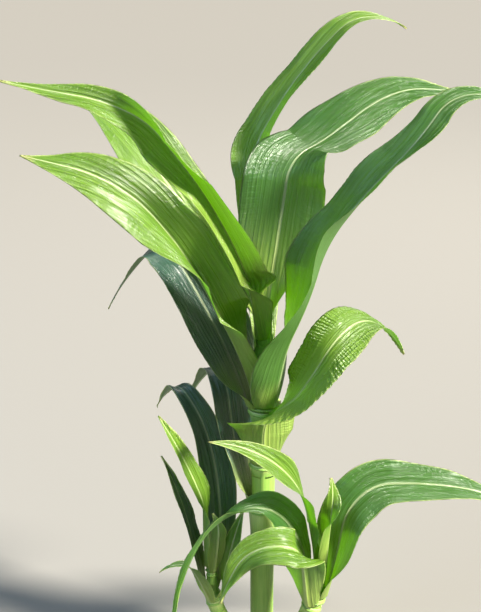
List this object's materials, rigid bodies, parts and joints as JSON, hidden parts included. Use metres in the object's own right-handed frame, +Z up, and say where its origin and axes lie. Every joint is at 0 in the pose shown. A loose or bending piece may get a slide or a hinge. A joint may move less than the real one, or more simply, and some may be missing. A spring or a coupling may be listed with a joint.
{
  "type": "maize plant",
  "caption": "Young maize plant: a main stalk with side shoots from one root, broad arching strap leaves that clasp the stems in two ranks, cut flat at ground level.",
  "frame": {"origin": "middle of the main stalk's flat cut at ground level", "axes": "+Z up along the main stalk, +X to the right of the picture, +Y away from its camera"},
  "size_m": [0.6139, 0.2947, 0.7887],
  "materials": {
    "stalk": "matt waxy stem",
    "leaf_bright": "satin waxy leaf",
    "leaf_mid": "satin waxy leaf",
    "leaf_deep": "satin waxy leaf"
  },
  "bodies": {
    "root": {"main_stalk": "stalk", "right_tiller": "stalk", "left_tiller": "stalk", "leaf_a_front_left": "leaf_bright", "leaf_c_left": "leaf_bright", "leaf_b_back_left": "leaf_bright", "leaf_e_back_right": "leaf_mid", "leaf_h_right": "leaf_mid", "leaf_n_right": "leaf_bright", "leaf_m_left": "leaf_deep", "leaf_k_low_left": "leaf_deep", "leaf_l_top": "leaf_bright", "tiller_leaf_over_stalk": "leaf_mid", "tiller_leaf_front": "leaf_bright", "tiller_leaf_back_left": "leaf_bright", "tiller_leaf_right": "leaf_mid", "tiller_leaf_heart": "leaf_bright", "tiller_leaf_pale": "leaf_bright", "tiller_leaf_tall": "leaf_deep", "tiller_leaf_dark": "leaf_deep", "tiller_leaf_small_front": "leaf_mid", "tiller_leaf_inner_front": "leaf_mid", "tiller_leaf_inner_right": "leaf_mid"}
  },
  "joints": []
}
